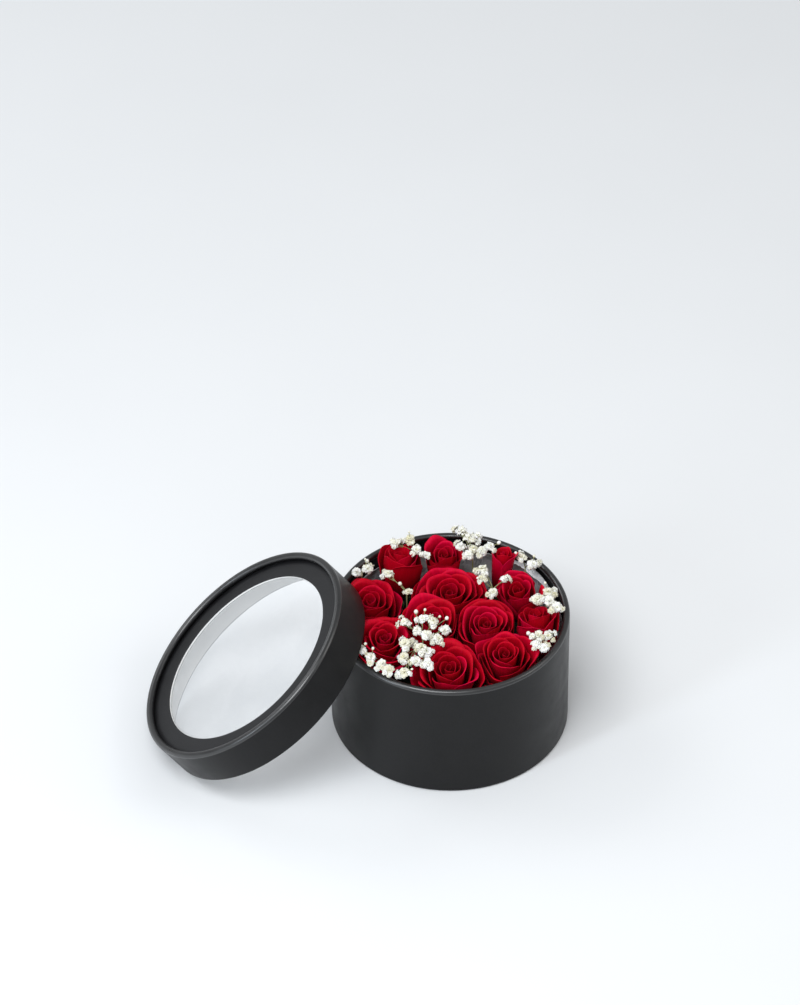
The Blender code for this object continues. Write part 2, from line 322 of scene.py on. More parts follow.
BLACK = paper_material("black_paper", (0.0036, 0.0036, 0.0040), (0.0064, 0.0064, 0.0070), 0.40, 0.08,
                       gloss=0.25)
BEAD = paper_material("burnished_bead", (0.0036, 0.0036, 0.0040), (0.0062, 0.0062, 0.0072), 0.33, 0.0,
                      gloss=0.95)
PANEL = paper_material("black_panel_paper", (0.0085, 0.0085, 0.0095), (0.014, 0.014, 0.0155), 0.48, 0.12)
INNER = paper_material("black_lining_paper", (0.0045, 0.0045, 0.005), (0.0075, 0.0075, 0.008), 0.55)
CUT = paper_material("white_board_edge", (0.84, 0.84, 0.82), (0.92, 0.92, 0.90), 0.6, fleck=0.04)
WHITE = paper_material("white_paper", (0.58, 0.57, 0.55), (0.64, 0.63, 0.61), 0.55, fleck=0.03)
BOARD = paper_material("base_board", (0.014, 0.014, 0.015), (0.024, 0.024, 0.025), 0.6)
PETAL = petal_material()
FLORET = floret_material()
GREEN = stem_material("rose_green", (0.016, 0.045, 0.010), (0.050, 0.10, 0.025))
TWIG = stem_material("twig_green", (0.17, 0.19, 0.075), (0.36, 0.36, 0.17))
CLEAR = window_material()
CRINKLE = crinkle_material()
FOAM = foam_material()


# ------------------------ mesh helpers

def add_object(made):
    """Put an object in the scene."""
    bpy.context.scene.collection.objects.link(made)


class Shape:
    """Points, faces, and values per point, gathered into one mesh."""

    def __init__(self):
        self.points, self.faces, self.paint = [], [], []
        self.values = {}
        self.count = 0

    def add(self, points, faces, paint=0, **values):
        """points is (n, 3) in mm; values are arrays with one row per point."""
        points = np.asarray(points, float)
        self.points.append(points)
        self.faces.extend([tuple(i + self.count for i in face) for face in faces])
        self.paint.extend([paint] * len(faces))
        for name, value in values.items():
            self.values.setdefault(name, []).append(np.asarray(value, float))
        self.count += len(points)

    def make(self, name, materials, body, replaces=(), place=None, corner=None):
        """The object. Edges sharper than corner, in radians, aren't shaded smooth."""
        mesh = bpy.data.meshes.new(name)
        mesh.from_pydata((np.concatenate(self.points) * MM).tolist(), [], self.faces)
        for made in materials:
            mesh.materials.append(made)
        mesh.polygons.foreach_set("material_index", self.paint)
        kinds = {1: ("FLOAT", "value"), 3: ("FLOAT_VECTOR", "vector"), 4: ("FLOAT_COLOR", "color")}
        for key, rows in self.values.items():
            rows = np.concatenate(rows)
            kind, field = kinds[rows.shape[1] if rows.ndim > 1 else 1]
            mesh.attributes.new(key, kind, "POINT").data.foreach_set(field, rows.ravel())
        mesh.shade_smooth()
        if corner:
            mesh.set_sharp_from_angle(angle=corner)
        mesh.update()
        made = bpy.data.objects.new(name, mesh)
        add_object(made)
        if place is not None:
            made.matrix_world = place
        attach(made, body)
        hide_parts(*replaces)
        return made


def unit(vectors):
    """A vector, or each row of them, scaled to a length of 1."""
    return vectors / np.maximum(np.linalg.norm(vectors, axis=-1, keepdims=True), 1e-9)


def wave_noise(x, y, seed):
    """Smooth noise in about -1 to 1 from a few waves, for arrays."""
    rng = random.Random(seed)
    total = 0
    for k in range(1, 6):
        turn = rng.uniform(0, math.tau)
        fx, fy = math.cos(turn) * k * 1.3, math.sin(turn) * k * 1.3
        total = total + np.sin(fx * x + fy * y + rng.uniform(0, 6.3)) / k
    return total / 1.8


def round_turn(count):
    """Directions all the way round, in radians."""
    return np.linspace(0, math.tau, count, endpoint=False)


def arc(centre_r, centre_z, radius, start, end, steps):
    """Points of an arc in the (r, z) plane, from start to end in degrees."""
    angles = np.radians(np.linspace(start, end, steps + 1))
    return [(centre_r + radius * math.cos(a), centre_z + radius * math.sin(a)) for a in angles]


def run(start, end, steps):
    """Points along a straight run, without its last one."""
    return [(start[0] + (end[0] - start[0]) * i / steps, start[1] + (end[1] - start[1]) * i / steps)
            for i in range(steps)]


def lathe(profile, rub=(), seam=None, wobble=0.0, seed=0):
    """A closed profile turned round Z, outer side first going up: points, faces and wear.

    rub lists (r, z, reach) where the edges are rubbed. seam is the angle of a glued lap in the
    paper. wobble is how far the piece is out of round, in mm.
    """
    profile = np.array(profile)
    count = len(profile)
    turn = round_turn(ROUND)
    r = np.repeat(profile[:, 0][:, None], ROUND, 1)
    z = np.repeat(profile[:, 1][:, None], ROUND, 1)
    if wobble:
        x, y = 2 * np.cos(turn)[None, :], 2 * np.sin(turn)[None, :]
        r = r + wobble * wave_noise(x + z / 40, y, seed)
    if seam is not None:
        overlap, step = SEAM
        off = (turn - seam) % math.tau
        r = r + step * np.clip(off / 0.006, 0, 1) * np.clip((overlap - off) / 0.012, 0, 1)
    points = np.stack([r * np.cos(turn), r * np.sin(turn), z], -1).reshape(-1, 3)
    faces = []
    for i in range(count):
        j = (i + 1) % count
        for k in range(ROUND):
            m = (k + 1) % ROUND
            faces.append((i * ROUND + k, i * ROUND + m, j * ROUND + m, j * ROUND + k))
    rubbed = np.zeros(count)
    for at_r, at_z, reach in rub:
        gone = np.hypot(profile[:, 0] - at_r, profile[:, 1] - at_z) / reach
        rubbed = np.maximum(rubbed, np.clip(1.2 - gone, 0, 1))
    return points, faces, np.repeat(rubbed, ROUND)


def turned(name, profile, material, body, slot, place=None, cut=None, **looks):
    """A turned piece. cut is the radius inside which its faces are bare board."""
    shape = Shape()
    points, faces, rub = lathe(profile, **looks)
    shape.add(points, faces, rub=rub)
    if cut:
        inside = np.hypot(points[:, 0], points[:, 1]) < cut
        shape.paint = [int(all(inside[i] for i in face)) for face in faces]
    materials = [material, CUT] if cut else [material]
    shape.make(name, materials, body, (name,), place, CORNER)


def sheet_shell(grid, thickness):
    """A closed thin shell from a (nu, nv, 3) grid: its points and faces, front first."""
    nu, nv, _ = grid.shape
    du = np.gradient(grid, axis=0)
    dv = np.gradient(grid, axis=1)
    normal = unit(np.cross(du, dv))
    points = np.concatenate([grid.reshape(-1, 3), (grid - normal * thickness).reshape(-1, 3)])
    faces = []
    back = nu * nv
    for i in range(nu - 1):
        for j in range(nv - 1):
            a, b, c, d = i * nv + j, (i + 1) * nv + j, (i + 1) * nv + j + 1, i * nv + j + 1
            faces.append((a, b, c, d))
            faces.append((back + d, back + c, back + b, back + a))
    edge = [i * nv for i in range(nu)] + [(nu - 1) * nv + j for j in range(1, nv)]
    edge += [i * nv + nv - 1 for i in range(nu - 2, -1, -1)] + [j for j in range(nv - 2, 0, -1)]
    for a, b in zip(edge, edge[1:] + edge[:1]):
        faces.append((b, a, back + a, back + b))
    return points, faces


def tube(path, radii, sides=6):
    """A closed tube along a (n, 3) path, with a radius at each point."""
    path = np.asarray(path, float)
    radii = np.broadcast_to(radii, len(path))
    along = unit(np.gradient(path, axis=0))
    side = unit(np.cross(along, np.array([0.31, 0.95, 0.05])))
    up = np.cross(along, side)
    turn = round_turn(sides)
    rings = [p + r * (np.cos(turn)[:, None] * s + np.sin(turn)[:, None] * u)
             for p, r, s, u in zip(path, radii, side, up)]
    faces = []
    for i in range(len(path) - 1):
        for k in range(sides):
            m = (k + 1) % sides
            faces.append((i * sides + m, i * sides + k, (i + 1) * sides + k, (i + 1) * sides + m))
    last = (len(path) - 1) * sides
    faces.append(tuple(range(sides)))
    faces.append(tuple(last + k for k in reversed(range(sides))))
    return np.concatenate(rings), faces


# ------------------------ box

def corners_mm(node):
    """A node's lowest and highest corners."""
    low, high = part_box(node)
    return np.array(low) / MM, np.array(high) / MM


def curled_profile(inner, outer, foot, height, curl_r, bead_out):
    """A board wall with a round bead along its top, whose outside has the radius bead_out."""
    middle = bead_out - curl_r
    first = -math.degrees(math.acos((outer - middle) / curl_r))
    last = 360 - math.degrees(math.acos((inner - middle) / curl_r))
    bead = arc(middle, height - curl_r, curl_r, first, last, 30)
    return (run((inner, foot), (outer, foot), 2) + run((outer, foot), bead[0], 10)
            + bead + run(bead[-1], (inner, foot), 10)[1:])


def wrap_profile(outer, foot, top, foot_r, turn_in):
    """A paper skin that turns under the foot on a round edge."""
    inner = outer - PAPER_T
    under = arc(outer - foot_r, foot + foot_r, foot_r, -90, 0, 8)
    over = arc(outer - foot_r, foot + foot_r, foot_r - PAPER_T, 0, -90, 8)
    return ([(outer - turn_in, foot)] + under + run((outer, foot + foot_r + 1), (outer, top), 10)
            + [(outer, top), (inner, top)] + run((inner, top - 3), (inner, foot + foot_r), 6)
            + over + [(outer - turn_in, foot + PAPER_T)])


def make_box():
    _, wall_high = corners_mm("box_wall")
    _, wrap_high = corners_mm("box_wrap")
    lining_low, lining_high = corners_mm("box_lining")
    _, base_high = corners_mm("box_base")
    outer = wrap_high[0]
    height = wall_high[2]
    board_outer = outer - PAPER_T - GLUE
    board_inner = board_outer - BOARD_T

    turned("box_wall", curled_profile(board_inner, board_outer, 1.0, height, BOX_CURL_R,
           outer + BEAD_PROUD), BEAD, "box", "board",
           rub=[(outer - 1.6, height - 0.3, 1.6)], wobble=0.10, seed=3)
    turned("box_wrap", wrap_profile(outer, 0.0, height - BOX_CURL_R, FOOT_R, 4.5), BLACK, "box",
           "black_paper", rub=[(outer - 0.5, 0.6, 1.6)], wobble=0.10, seed=3,
           seam=math.radians(118))
    low, high, r = lining_low[2], lining_high[2], lining_high[0]
    turned("box_lining", [(r - PAPER_T, low), (r, low), (r, high), (r - PAPER_T, high)], INNER,
           "box", "black_paper", wobble=0.08, seed=4)
    r = base_high[0]
    turned("box_base", run((0.2, 0.25), (r - 0.6, 0.25), 12) + [(r - 0.6, 0.25), (r, 0.8),
           (r, base_high[2]), (0.2, base_high[2])], BOARD, "box", "board", rub=[(r, 0.3, 2)])


# Where the film stands loose of the wall: direction from +X, spread, both in degrees, and amount
FILM_LOOSE = [(42, 24, 1.0), (116, 16, 0.7), (168, 12, 0.3)]
FILM_FOLD = 6.5                 # how far its edge folds in there, in mm
FILM_FOLD_AT = 0.9              # where the fold starts, as a share of the film's height
FILM_FOLD_DOWN = 1.12           # how far it comes down, as a multiple of its own height
FILM_RISE = 7.0                 # how far gathering lifts a loose stretch of the edge, in mm
FILM_DRAW = 18.0                # how much lower a tight stretch is than a loose one, in mm
FILM_FOOT = 3                   # how far its foot stands above the CAD film's, in mm
FILM_TALL = 1.0                 # how far the flat sheet would pass the CAD film's top, in mm
FILM_GAP = 0.4                  # between it and the outside of the CAD film, in mm
FILM_T = 0.12                   # its thickness, in mm
FILM_SIDES, FILM_ROWS = 420, 46


def film_looseness(turn):
    """How loose of the wall the film stands in each direction, from 0 to 1."""
    loose = np.zeros_like(turn)
    for middle, spread, much in FILM_LOOSE:
        off = (turn - math.radians(middle) + math.pi) % math.tau - math.pi
        loose = np.maximum(loose, much * np.exp(-(off / math.radians(spread)) ** 2))
    return loose


def film_faces():
    """The film's inner and outer face, as grids of points in mm."""
    low, high = corners_mm("film_liner")
    top = high[2] + FILM_TALL
    turn = round_turn(FILM_SIDES)
    t, v = np.meshgrid(turn, np.linspace(0, 1, FILM_ROWS), indexing="ij")
    folds = 0
    rng = random.Random(11)
    for k in (9, 17, 31, 53):
        swing = rng.uniform(0, 6.28)
        lean = rng.uniform(-2.2, 2.2)
        folds = folds + np.abs(np.sin(k * t / 2 + swing + lean * v * 3)) ** 0.7 * 14 / k
    crush = np.abs(wave_noise(17 * t, 5 * v, 5)) * 2.4 + np.abs(wave_noise(34 * t, 11 * v, 6)) * 1.1
    gather = np.clip((v - 0.35) / 0.65, 0, 1) ** 1.3
    loose = film_looseness(t)
    fold = loose * np.clip((v - FILM_FOLD_AT) / (1 - FILM_FOLD_AT), 0, 1)
    inward = 0.3 + gather * (folds * 1.35 + crush) * (0.2 + 0.15 * loose) + FILM_FOLD * fold
    edge = 1.8 * wave_noise(7 * t, 0, 8) + 1.3 * np.abs(wave_noise(40 * t, 0, 9))
    z = low[2] + FILM_FOOT + v * (top - low[2] - FILM_FOOT)
    z = z + gather * (edge * (0.4 + 0.3 * loose) + FILM_RISE - FILM_DRAW * (1 - loose))
    z = z - fold * (top - low[2]) * (1 - FILM_FOLD_AT) * FILM_FOLD_DOWN
    r = high[0] - FILM_GAP - inward
    return [np.stack([(r + out) * np.cos(t), (r + out) * np.sin(t), z], -1) for out in (0, FILM_T)]


def make_film():
    """The liner: a sheet of thin film gathered round the foam and crumpled, with a ragged top
    edge that folds in where it stands loose of the wall."""
    inner, outer = film_faces()
    back = FILM_SIDES * FILM_ROWS
    faces = []
    for i in range(FILM_SIDES):
        here, there = i * FILM_ROWS, (i + 1) % FILM_SIDES * FILM_ROWS
        for j in range(FILM_ROWS - 1):
            a, b, c, d = here + j, there + j, there + j + 1, here + j + 1
            faces.append((d, c, b, a))
            faces.append((back + a, back + b, back + c, back + d))
        last = FILM_ROWS - 1
        faces.append((here, there, back + there, back + here))
        faces.append((back + here + last, back + there + last, there + last, here + last))
    shape = Shape()
    shape.add(np.concatenate([inner.reshape(-1, 3), outer.reshape(-1, 3)]), faces)
    film = shape.make("film_liner", [CRINKLE], "box", ("film_liner",))


# ------------------------ lid

def lid_frame():
    """The lid's own frame, with its origin in the middle of the film window."""
    low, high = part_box("lid_window")
    middle = (Vector(low) + Vector(high)) / 2
    return (Matrix.Translation(middle) @ Matrix.Rotation(LEAN_TURN, 4, "Z")
            @ Matrix.Rotation(-LEAN, 4, "Y"))


# The lid, in mm. Heights are from the middle of its film.
LID_HEIGHT = 32.0
LID_LINING_R = 91.31
LID_OPENING_R = 74.0            # of the hole in its panel
LID_FILM_R = 79.0               # of the film glued behind the panel
PANEL_DOWN = 5.35               # from the crest of the bead to the panel
PANEL_T = 1.6
PANEL_EDGE_R = 0.35             # rounding of the panel's inner edge
PANEL_SLOPE = 6.0               # from the board to where the panel starts to slope
BACKING_TOP = -0.5
BACKING_T = 0.6
LID_FIT = 0.2                   # between the board and what is set into it


def make_lid():
    place = lid_frame()
    crest = LID_MOUTH + LID_HEIGHT
    board_in = LID_LINING_R + PAPER_T + GLUE
    board_out = board_in + BOARD_T
    outer = board_out + GLUE + PAPER_T

    turned("lid_wall", curled_profile(board_in, board_out, LID_MOUTH + 0.9, crest, LID_CURL_R,
           outer + BEAD_PROUD), BEAD, "lid", "board", place,
           rub=[(outer - 1.6, crest - 0.4, 1.6)], wobble=0.10, seed=7)
    turned("lid_wrap", wrap_profile(outer, LID_MOUTH, crest - LID_CURL_R, 1.1, 2.4), BLACK, "lid",
           "black_paper", place, rub=[(outer - 0.4, LID_MOUTH + 0.4, 1.4)], wobble=0.10, seed=7,
           seam=math.radians(70))
    make_panel(place, crest - PANEL_DOWN, board_in)
    make_window(place, LID_FILM_R)
    inner, outer, low = LID_OPENING_R + 0.8, board_in - LID_FIT, BACKING_TOP - BACKING_T
    turned("lid_backing", [(inner, low), (outer, low), (outer, BACKING_TOP), (inner, BACKING_TOP)],
           WHITE, "lid", "white_paper", place)
    low, top = LID_MOUTH + 0.8, BACKING_TOP - 0.9
    outer = LID_LINING_R + PAPER_T
    turned("lid_lining", [(LID_LINING_R, low), (outer, low), (outer, top)]
           + run((LID_LINING_R, top), (LID_LINING_R, low), 10),
           WHITE, "lid", "white_paper", place, wobble=0.08, seed=10)


def make_panel(place, top, board_in):
    """The recessed top: bare board round the hole, flat, then sloping down to the wall."""
    low = top - PANEL_T
    inner = LID_OPENING_R + PANEL_EDGE_R
    outer = board_in - LID_FIT
    slope_r = board_in - PANEL_SLOPE
    panel = (arc(inner, low + PANEL_EDGE_R, PANEL_EDGE_R, 180, 270, 3)
             + run((inner + 1, low), (outer, low), 4)
             + [(outer, low), (outer, low + 0.3)]
             + run((board_in - 1.0, low + 0.35), (slope_r, top), 4)
             + run((slope_r, top), (inner + 0.6, top), 8)
             + arc(inner, top - PANEL_EDGE_R, PANEL_EDGE_R, 90, 180, 4))
    turned("lid_panel", panel, PANEL, "lid", "black_paper", place,
           cut=LID_OPENING_R + 0.2, rub=[(LID_OPENING_R, top, 0.9)])


WINDOW_T = 0.4                  # in mm
WINDOW_SLACK = 0.35             # about how far its middle is off the flat, in mm


def make_window(place, radius):
    """The film: a thin disc, very slightly slack."""
    rings, sides = 40, 96
    turn = np.tile(round_turn(sides), rings)
    r = np.repeat(radius * np.arange(1, rings + 1) / rings, sides)
    x, y, r = (np.append(0, part) for part in (r * np.cos(turn), r * np.sin(turn), r))
    slack = WINDOW_SLACK * (1 - (r / radius) ** 2) * wave_noise(x / 26, y / 26, 21)
    points = [np.stack([x, y, lift + slack], -1) for lift in (WINDOW_T / 2, -WINDOW_T / 2)]
    back = len(x)

    def at(ring, k):
        """Point k of a ring. Ring 0 is the one point in the middle."""
        return 1 + (ring - 1) * sides + k % sides if ring else 0

    faces = []
    for i in range(rings):
        for k in range(sides):
            a, b, c, d = at(i, k), at(i, k + 1), at(i + 1, k + 1), at(i + 1, k)
            faces.append((a, d, c, b) if i else (a, d, c))
            faces.append(tuple(back + p for p in ((b, c, d, a) if i else (c, d, a))))
    for k in range(sides):
        a, b = at(rings, k), at(rings, k + 1)
        faces.append((a, back + a, back + b, b))
    shape = Shape()
    shape.add(np.concatenate(points), faces)
    shape.make("lid_window", [CLEAR], "lid", ("lid_window",), place)


# ------------------------ roses

BLOOM_DEEP = 30                 # a CAD bloom is this deep plus half its radius, in mm
OPEN_ROSE = 0.62                # a rose more open than this has guard petals
ROSE_GAP = 0.2                  # room between a petal and the plane that parts two roses, in mm
ROSE_GIVE = 0.38                # share of the way to that plane over which petals give way
PETAL_REACH = 1.25              # how far past its spread radius a petal may come
WALL_CLEAR = 3.6                # room between petals and the box's lining, in mm
LID_CLEAR = 1.2                 # room between petals and the plane of the lid's mouth, in mm
PRESS_SOFT = 5.0                # depth over which petals give way at wall and lid, in mm


def rose_heads():
    """Each rose's centre, radius, foot and top in mm, read from the frame."""
    heads = []
    for i in range(len(ROSES)):
        name = "rose_%02d" % (i + 1)
        low, high = corners_mm(name + "_bloom")
        stem_low, stem_high = corners_mm(name + "_stem")
        centre = (stem_low + stem_high) / 2
        radius = 2 * (high[2] - low[2] - BLOOM_DEEP)
        heads.append({"x": centre[0], "y": centre[1], "r": radius, "foot": low[2], "top": high[2]})
    return heads


def bezier(p0, p1, p2, p3, s):
    """Point and direction on a cubic curve in the (r, z) plane, for an array of s."""
    s = s[..., None]
    point = ((1 - s) ** 3 * p0 + 3 * (1 - s) ** 2 * s * p1 + 3 * (1 - s) * s ** 2 * p2 + s ** 3 * p3)
    slope = 3 * ((1 - s) ** 2 * (p1 - p0) + 2 * (1 - s) * s * (p2 - p1) + s ** 2 * (p3 - p2))
    return point, unit(slope)


def petal(radius, foot, top, t, turn, opening, rng, across=23, along=10, curl_rows=5):
    """One petal as an (across, along + curl_rows, 3) grid, upright round the Z axis.

    t runs from 0 at the heart to 1 outside, and opening is the rose's.
    """
    size = radius / 27                  # the sizes below suit a rose of 27 mm in radius
    bud = max(0.0, 1 - opening / 0.3)   # petals of a bud wrap further round and stay closer
    lip_r = radius * (0.06 + 0.90 * t ** 1.08) * (0.84 + 0.16 * opening) * (1 - 0.22 * bud)
    # The heart lies a little lower than the petals round it, and the outer petals fall away
    sink = 0.14 * max(0.0, 1 - t / 0.35) ** 2
    fall = (0.06 + 0.36 * opening) * max(0.0, (t - 0.40) / 0.60) ** 1.4
    lip_z = top - radius * (sink + fall) + rng.uniform(-0.06, 0.03) * radius - 1.2 * size
    height = lip_z - foot
    tilt = math.radians(2 + (10 + 30 * opening) * t ** 1.4 + rng.uniform(-5, 5))
    curl = math.radians(10 + (22 + 58 * opening) * t ** 0.8 + rng.uniform(-10, 14))
    curl_r = (0.5 + 2.6 * t) * size ** 0.5 * rng.uniform(0.8, 1.25)
    wide = 1.02 + 1.45 * (1 - t) ** 1.4 + 0.45 * bud
    tuck = 0.06 + 0.20 * (1 - t) ** 2

    # The section, from foot to lip: a curve whose lip is rounded and a little pointed
    u = np.linspace(-1, 1, across)
    v = np.linspace(0, 1, along) ** 0.85
    point_up = 0.07 * max(0.0, t - 0.25) * np.exp(-((u - rng.uniform(-0.2, 0.2)) / 0.2) ** 2)
    reach = 1 - 0.24 * np.abs(u) ** 2.6 + point_up
    s = v[None, :] * reach[:, None]
    p0 = np.array([0.4 + 0.13 * radius * t, foot + 0.5 * (1 - t)])
    p1 = np.array([max(lip_r * 0.92, 0.30 * radius * t + 0.8), foot + height * 0.12])
    p3 = np.array([lip_r, lip_z])
    p2 = p3 - height * 0.36 * np.array([math.sin(tilt), math.cos(tilt)])
    p2[0] = max(p2[0], lip_r * 0.80)
    body, _ = bezier(p0, p1, p2, p3, s)
    lip, slope = bezier(p0, p1, p2, p3, reach)
    # Past the lip, the petal rolls outwards
    angle0 = np.arctan2(slope[:, 0], slope[:, 1])
    swell = 1 - 0.3 * np.abs(u) ** 2 + 0.35 * wave_noise(1.6 * u, 0 * u, rng.randrange(9999))
    rows = []
    r_now, z_now = lip[:, 0].copy(), lip[:, 1].copy()
    for k in range(curl_rows):
        bend = angle0 + curl * swell * (k + 0.5) / curl_rows
        step = curl_r * curl * swell / curl_rows
        r_now = r_now + step * np.sin(bend)
        z_now = z_now + step * np.cos(bend)
        rows.append(np.stack([r_now, z_now], -1))
    section = np.concatenate([body, np.stack(rows, 1)], 1)
    all_v = np.concatenate([v, 1 + (np.arange(curl_rows) + 1) * 0.03])
    high = np.clip(all_v, 0, 1)[None, :]
    level = 0 * high

    # Bend it round the axis, tuck one side under its neighbour, and ruffle it
    spread = 0.40 + 0.60 * np.sin(np.pi / 2 * np.clip(all_v / 0.62, 0, 1))
    azimuth = turn + wide * u[:, None] * spread[None, :]
    azimuth = azimuth + 0.05 * wave_noise(2 * u[:, None], 3 * high, rng.randrange(9999))
    r = section[..., 0] * (1 + tuck * u[:, None] * high)
    z = section[..., 1]
    edge = np.abs(u[:, None]) ** 5 * high ** 2
    r = r + edge * curl_r * 0.5 * t
    z = z - edge * 1.0 * size * t
    wave = wave_noise(1.5 * u[:, None] + level, 0.8 * high, rng.randrange(9999))
    r = r + (0.3 + 1.9 * t) * size * wave * high ** 1.5
    frill = wave_noise(2.2 * u[:, None] + level, 0.4 * high, rng.randrange(9999))
    z = z + (0.4 + 1.8 * t) * size * high ** 3 * frill
    grid = np.stack([r * np.cos(azimuth), r * np.sin(azimuth), z], -1)
    return grid, u, all_v / all_v[-1]


def nod(points, pivot_z, degrees, compass):
    """Tip a head over by some degrees in a compass direction, about a point on its axis."""
    way = math.radians(compass)
    axis = Vector((-math.sin(way), math.cos(way), 0))
    turn = np.array(Matrix.Rotation(math.radians(degrees), 3, axis))
    pivot = np.array([0, 0, pivot_z])
    return (points - pivot) @ turn.T + pivot


def soft_limit(distance, limit, give):
    """Distances pressed to stay under a limit: those within give of it bunch up, in order."""
    free = limit - give
    over = np.maximum(distance - free, 0)
    return np.where(distance > free, free + give * np.tanh(over / give), distance)


def above_mouth(points):
    """How far points stand above the plane of the leaning lid's mouth."""
    place = lid_frame()
    mouth = np.array(place @ Vector((0, 0, LID_MOUTH * MM))) / MM
    return (points - mouth) @ np.array(place.to_3x3().col[2])


def under_lid(points):
    """Press points down where they would reach the plane of the leaning lid's mouth."""
    away = np.array(lid_frame().to_3x3().col[2])
    rise = above_mouth(points) + LID_CLEAR
    return points - (rise - soft_limit(rise, 0, PRESS_SOFT))[:, None] * away


def press_in(points, head, heads, wall_r):
    """Keep a rose's points on its own side of the planes between it and its neighbours, inside
    the box and under the lid."""
    for other in heads:
        if other is head:
            continue
        across = np.array([other["x"] - head["x"], other["y"] - head["y"], 0])
        gap = np.linalg.norm(across)
        limit = (gap ** 2 + head["r"] ** 2 - other["r"] ** 2) / (2 * gap) - ROSE_GAP
        if limit < head["r"] * SPREAD * PETAL_REACH:
            way = across / gap
            reach = points @ way
            pressed = soft_limit(reach, limit, ROSE_GIVE * limit)
            points = points + (pressed - reach)[:, None] * way
    world = points + np.array([head["x"], head["y"], 0])
    out = np.maximum(np.hypot(world[:, 0], world[:, 1]), 1e-9)
    world[:, :2] *= (soft_limit(out, wall_r, PRESS_SOFT) / out)[:, None]
    return under_lid(world)


def petal_count(radius, opening):
    """A larger or more open rose shows more petals."""
    return int(7 + 0.21 * radius + 6.5 * opening)


def make_rose(index, heads):
    head = heads[index]
    opening, lean, compass = ROSES[index]
    rng = random.Random(100 + index)
    count = petal_count(head["r"], opening)
    wall_r = corners_mm("box_lining")[1][0] - WALL_CLEAR
    shape = Shape()
    start = rng.uniform(0, math.tau)
    guards = GUARDS if opening > OPEN_ROSE else 0
    for k in range(count + guards):
        t = min(k / (count - 1), 1)
        turn = start + k * GOLDEN + rng.uniform(-0.18, 0.18)
        wide, drop = (GUARD_REACH, GUARD_DROP) if k >= count else (1, 0)
        grid, u, v = petal(head["r"] * SPREAD * wide, head["foot"], head["top"] - drop * head["r"],
                           t, turn, opening, rng)
        points, faces = sheet_shell(grid, 0.28 + 0.15 * t)
        points = nod(points, head["foot"], lean, compass)
        world = press_in(points, head, heads, wall_r)
        tint = rng.random()
        uu, vv = np.meshgrid(u, v, indexing="ij")
        uu, vv = np.tile(uu.ravel(), 2), np.tile(vv.ravel(), 2)
        paint = np.stack([vv, np.full_like(vv, t), np.full_like(vv, tint), np.ones_like(vv)], -1)
        vein = np.stack([uu * (9 + 14 * t), vv * 1.6, np.full_like(vv, k * 7.3)], -1)
        shape.add(world, faces, petal=paint, vein=vein)
    name = "rose_%02d" % (index + 1)
    shape.make(name + "_bloom", [PETAL], "box", (name + "_bloom",))
    make_stem(name, head, rng)


def make_stem(name, head, rng):
    """A rose stem with a swollen hip and five sepals under the head."""
    low, _ = corners_mm(name + "_stem")
    shape = Shape()
    foot = head["foot"]
    heights = np.linspace(low[2] + 1, foot - 0.3, 14)
    sway = 0.5 * wave_noise(heights / 9, 0 * heights, rng.randrange(9999))
    sway = sway * np.clip((foot - heights) / 20, 0, 1)
    path = np.stack([head["x"] + sway, head["y"] - sway, heights], -1)
    hip = np.exp(-((heights - foot + 1.5) / 3.5) ** 2)
    shape.add(*tube(path, 1.9 + 3.4 * hip, 12))
    for k in range(5):
        turn = math.tau * (k + rng.uniform(-0.15, 0.15)) / 5
        u = np.linspace(-1, 1, 7)[:, None]
        v = np.linspace(0, 1, 10)[None, :]
        out = 3.6 + 6.5 * v + 1.2 * np.sin(3 * v)
        up = foot - 1.5 + 3.0 * np.sin(2.2 * v) - 5.0 * v ** 2
        side = 2.1 * u * (1 - v) ** 0.6 * (0.5 + v) * 1.2
        grid = np.stack([head["x"] + out * math.cos(turn) - side * math.sin(turn) + 0 * u,
                         head["y"] + out * math.sin(turn) + side * math.cos(turn) + 0 * u,
                         up + 0.25 * u ** 2 + 0 * u], -1)
        shape.add(*sheet_shell(grid, 0.3))
    shape.make(name + "_stem", [GREEN], "box", (name + "_stem",))


# ------------------------ baby's breath

